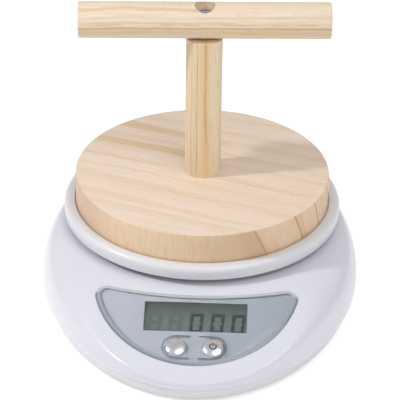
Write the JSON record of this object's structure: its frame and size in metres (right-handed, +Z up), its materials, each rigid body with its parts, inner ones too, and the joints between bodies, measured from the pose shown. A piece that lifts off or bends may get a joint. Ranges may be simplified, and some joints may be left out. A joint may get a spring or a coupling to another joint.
{
  "type": "bench scale with perch stand",
  "caption": "Oval digital bench scale with a round pan and a wooden T-shaped perch stand that lifts off, for weighing a bird.",
  "frame": {"origin": "on the table plane under the middle of the oval housing", "axes": "+Z up, the display and buttons face -Y, +X to the right seen from the front"},
  "size_m": [0.1754, 0.2216, 0.169],
  "materials": {
    "cover_plastic": "moulded, satin",
    "shell_plastic": "glossy white",
    "clear_panel": "clear moulded plastic",
    "silver_print": "printed silver film",
    "display_glass": "grey green display glass",
    "dark_plastic": "black moulded",
    "contact_rubber": "striped contact rubber",
    "circuit_board": "green solder mask",
    "button_chrome": "plated, bright",
    "cell_aluminium": "machined",
    "gauge_silicone": "white sealant",
    "screw_steel": "zinc plated",
    "support_plastic": "moulded",
    "pan_plastic": "white, satin gloss",
    "battery_can": "plain wrapped can",
    "contact_metal": "nickel plated spring steel",
    "cable_grey": "grey sheath",
    "wire_red": "red insulation",
    "wire_black": "black insulation",
    "foot_rubber": "matt",
    "board_wood": "sanded pale pine",
    "post_wood": "sanded pale pine",
    "bar_wood": "sanded pale pine"
  },
  "bodies": {
    "root": {"bottom_cover": "cover_plastic", "top_shell": "shell_plastic", "front_panel": "clear_panel", "panel_print": "silver_print", "lcd_glass": "display_glass", "lcd_frame": "dark_plastic", "lcd_connectors": "contact_rubber", "main_board": "circuit_board", "controller": "dark_plastic", "unit_switch": "dark_plastic", "power_switch": "dark_plastic", "load_cell": "cell_aluminium", "gauge_covers": "gauge_silicone", "cell_screws": "screw_steel", "battery_front": "battery_can", "battery_rear": "battery_can", "battery_jumper": "contact_metal", "battery_contacts": "contact_metal", "gauge_cable": "cable_grey", "battery_wire_red": "wire_red", "battery_wire_black": "wire_black", "housing_screws": "screw_steel", "board_screws": "screw_steel", "front_left_foot": "foot_rubber", "front_right_foot": "foot_rubber", "rear_left_foot": "foot_rubber", "rear_right_foot": "foot_rubber"},
    "platform": {"pan": "pan_plastic", "platform_support": "support_plastic", "support_screws": "screw_steel"},
    "stand": {"perch_board": "board_wood", "perch_post": "post_wood", "perch_bar": "bar_wood", "bar_screw": "screw_steel", "board_screw": "screw_steel"},
    "unit_key": {"unit_button": "button_chrome", "unit_switch_stem": "dark_plastic"},
    "power_key": {"power_button": "button_chrome", "power_switch_stem": "dark_plastic"},
    "door": {"battery_door": "cover_plastic"}
  },
  "joints": [
    {"name": "platform_travel", "type": "slide", "parent": "root", "child": "platform", "axis": [0, 0, 1], "range_m": [-0.0006, 0], "stiffness_N_per_m": 98000, "springref_m": 0.00006, "deforming": ["load_cell"]},
    {"name": "stand_lift", "type": "slide", "parent": "platform", "child": "stand", "axis": [0, 0, 1], "range_m": [0, 0.03]},
    {"name": "unit_press", "type": "slide", "parent": "root", "child": "unit_key", "axis": [0, 0.3746, -0.9272], "range_m": [0, 0.0004], "stiffness_N_per_m": 4000, "springref_m": -0.0001},
    {"name": "power_press", "type": "slide", "parent": "root", "child": "power_key", "axis": [0, 0.3746, -0.9272], "range_m": [0, 0.0004], "stiffness_N_per_m": 4000, "springref_m": -0.0001},
    {"name": "battery_door_hinge", "type": "hinge", "parent": "root", "child": "door", "pos_m": [0, 0.05, 0.0046], "axis": [-1, 0, 0], "range_deg": [0, 90]}
  ]
}
